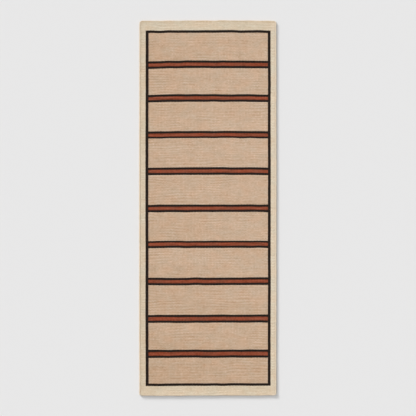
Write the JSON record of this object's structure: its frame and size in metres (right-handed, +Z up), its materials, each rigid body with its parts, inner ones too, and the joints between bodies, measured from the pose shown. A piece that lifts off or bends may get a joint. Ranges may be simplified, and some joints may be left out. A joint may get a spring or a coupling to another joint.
{
  "type": "runner rug",
  "caption": "Hand-woven wool flatweave runner: cream border, thin black frame, and beige fields parted by black-edged rust bands, over cotton warps, with overcast edges and taped hems.",
  "frame": {"origin": "bottom centre, on the floor under the middle of the rug", "axes": "+Y along the length towards the head end, +X across the width, +Z up out of the face"},
  "size_m": [0.76, 2.077, 0.009],
  "materials": {
    "beige_wool": "undyed beige wool weft, ribbed, matt, streaked along the weft",
    "rust_wool": "rust red dyed wool weft, matt",
    "black_wool": "warm black dyed wool weft, matt",
    "cream_wool": "cream undyed wool weft, matt",
    "warp_cotton": "natural cotton cord, inside the weft",
    "hem_tape": "natural cotton twill tape on the underside",
    "hem_thread": "natural cotton sewing thread",
    "label_cloth": "blank white woven label"
  },
  "bodies": {
    "root": {"field_01": "beige_wool", "field_02": "beige_wool", "field_03": "beige_wool", "field_04": "beige_wool", "field_05": "beige_wool", "field_06": "beige_wool", "field_07": "beige_wool", "field_08": "beige_wool", "field_09": "beige_wool", "field_10": "beige_wool", "rust_band_1": "rust_wool", "rust_band_2": "rust_wool", "rust_band_3": "rust_wool", "rust_band_4": "rust_wool", "rust_band_5": "rust_wool", "rust_band_6": "rust_wool", "rust_band_7": "rust_wool", "rust_band_8": "rust_wool", "rust_band_9": "rust_wool", "black_line_1_upper": "black_wool", "black_line_1_lower": "black_wool", "black_line_2_upper": "black_wool", "black_line_2_lower": "black_wool", "black_line_3_upper": "black_wool", "black_line_3_lower": "black_wool", "black_line_4_upper": "black_wool", "black_line_4_lower": "black_wool", "black_line_5_upper": "black_wool", "black_line_5_lower": "black_wool", "black_line_6_upper": "black_wool", "black_line_6_lower": "black_wool", "black_line_7_upper": "black_wool", "black_line_7_lower": "black_wool", "black_line_8_upper": "black_wool", "black_line_8_lower": "black_wool", "black_line_9_upper": "black_wool", "black_line_9_lower": "black_wool", "frame_line_head": "black_wool", "frame_line_foot": "black_wool", "frame_line_left": "black_wool", "frame_line_right": "black_wool", "border_head": "cream_wool", "border_foot": "cream_wool", "border_left": "cream_wool", "border_right": "cream_wool", "selvedge_wrap_left": "cream_wool", "selvedge_wrap_right": "cream_wool", "warps_border_left": "warp_cotton", "warps_frame_left": "warp_cotton", "warps_centre": "warp_cotton", "warps_frame_right": "warp_cotton", "warps_border_right": "warp_cotton", "selvedge_core_left": "warp_cotton", "selvedge_core_right": "warp_cotton", "hem_tape_head": "hem_tape", "hem_tape_foot": "hem_tape", "hem_stitching_head": "hem_thread", "hem_stitching_foot": "hem_thread", "sewn_label": "label_cloth"}
  },
  "joints": []
}
